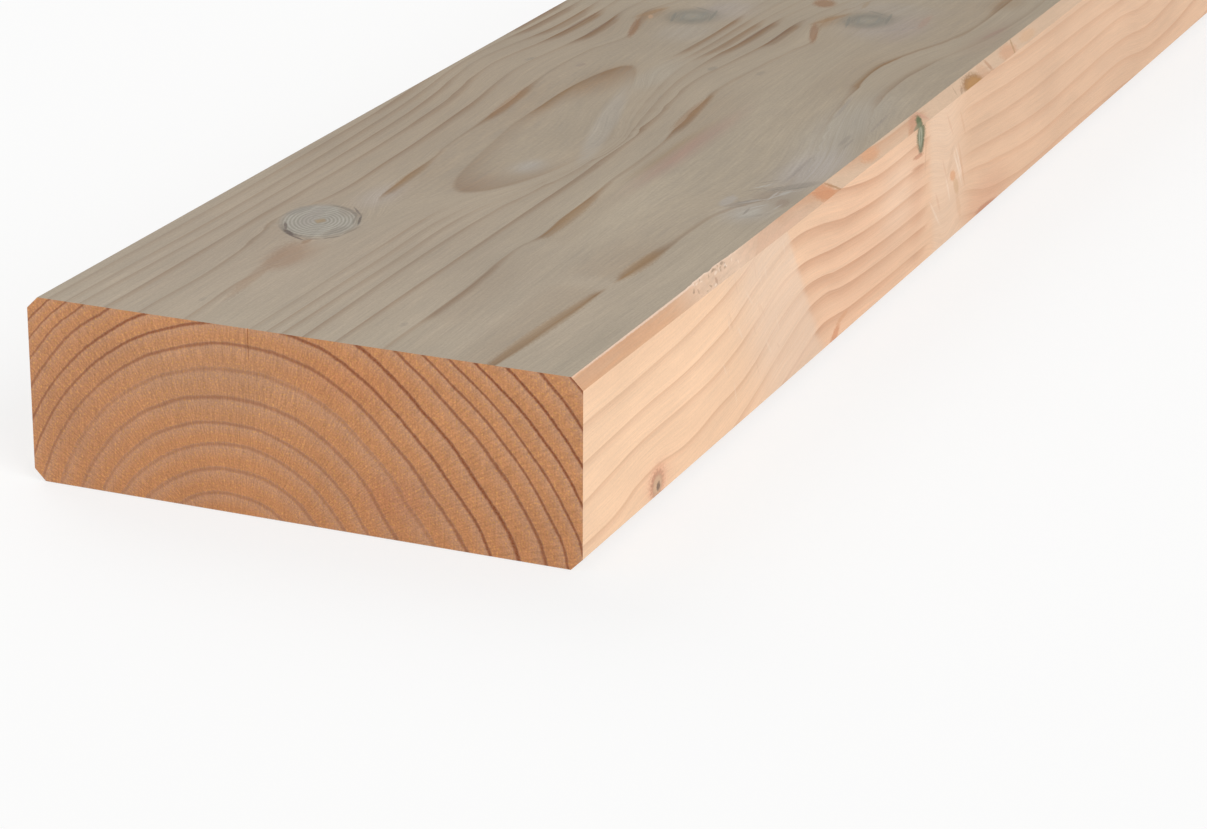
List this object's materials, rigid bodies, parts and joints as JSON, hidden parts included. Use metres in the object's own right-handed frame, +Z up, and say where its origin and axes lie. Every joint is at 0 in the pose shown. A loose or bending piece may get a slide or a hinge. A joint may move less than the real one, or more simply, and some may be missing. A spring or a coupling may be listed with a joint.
{
  "type": "planed timber beam",
  "caption": "Straight rectangular softwood beam, planed on its long faces, with narrow eased arrises and square-sawn ends.",
  "frame": {"origin": "middle of the underside: centred on the width and on the length, at the level the beam lies on", "axes": "+Y along the beam, +X across its width, +Z up through its thickness"},
  "size_m": [0.148, 2.4, 0.048],
  "materials": {
    "softwood": "planed, unfinished"
  },
  "bodies": {
    "root": {"planed_beam": "softwood"}
  },
  "joints": []
}
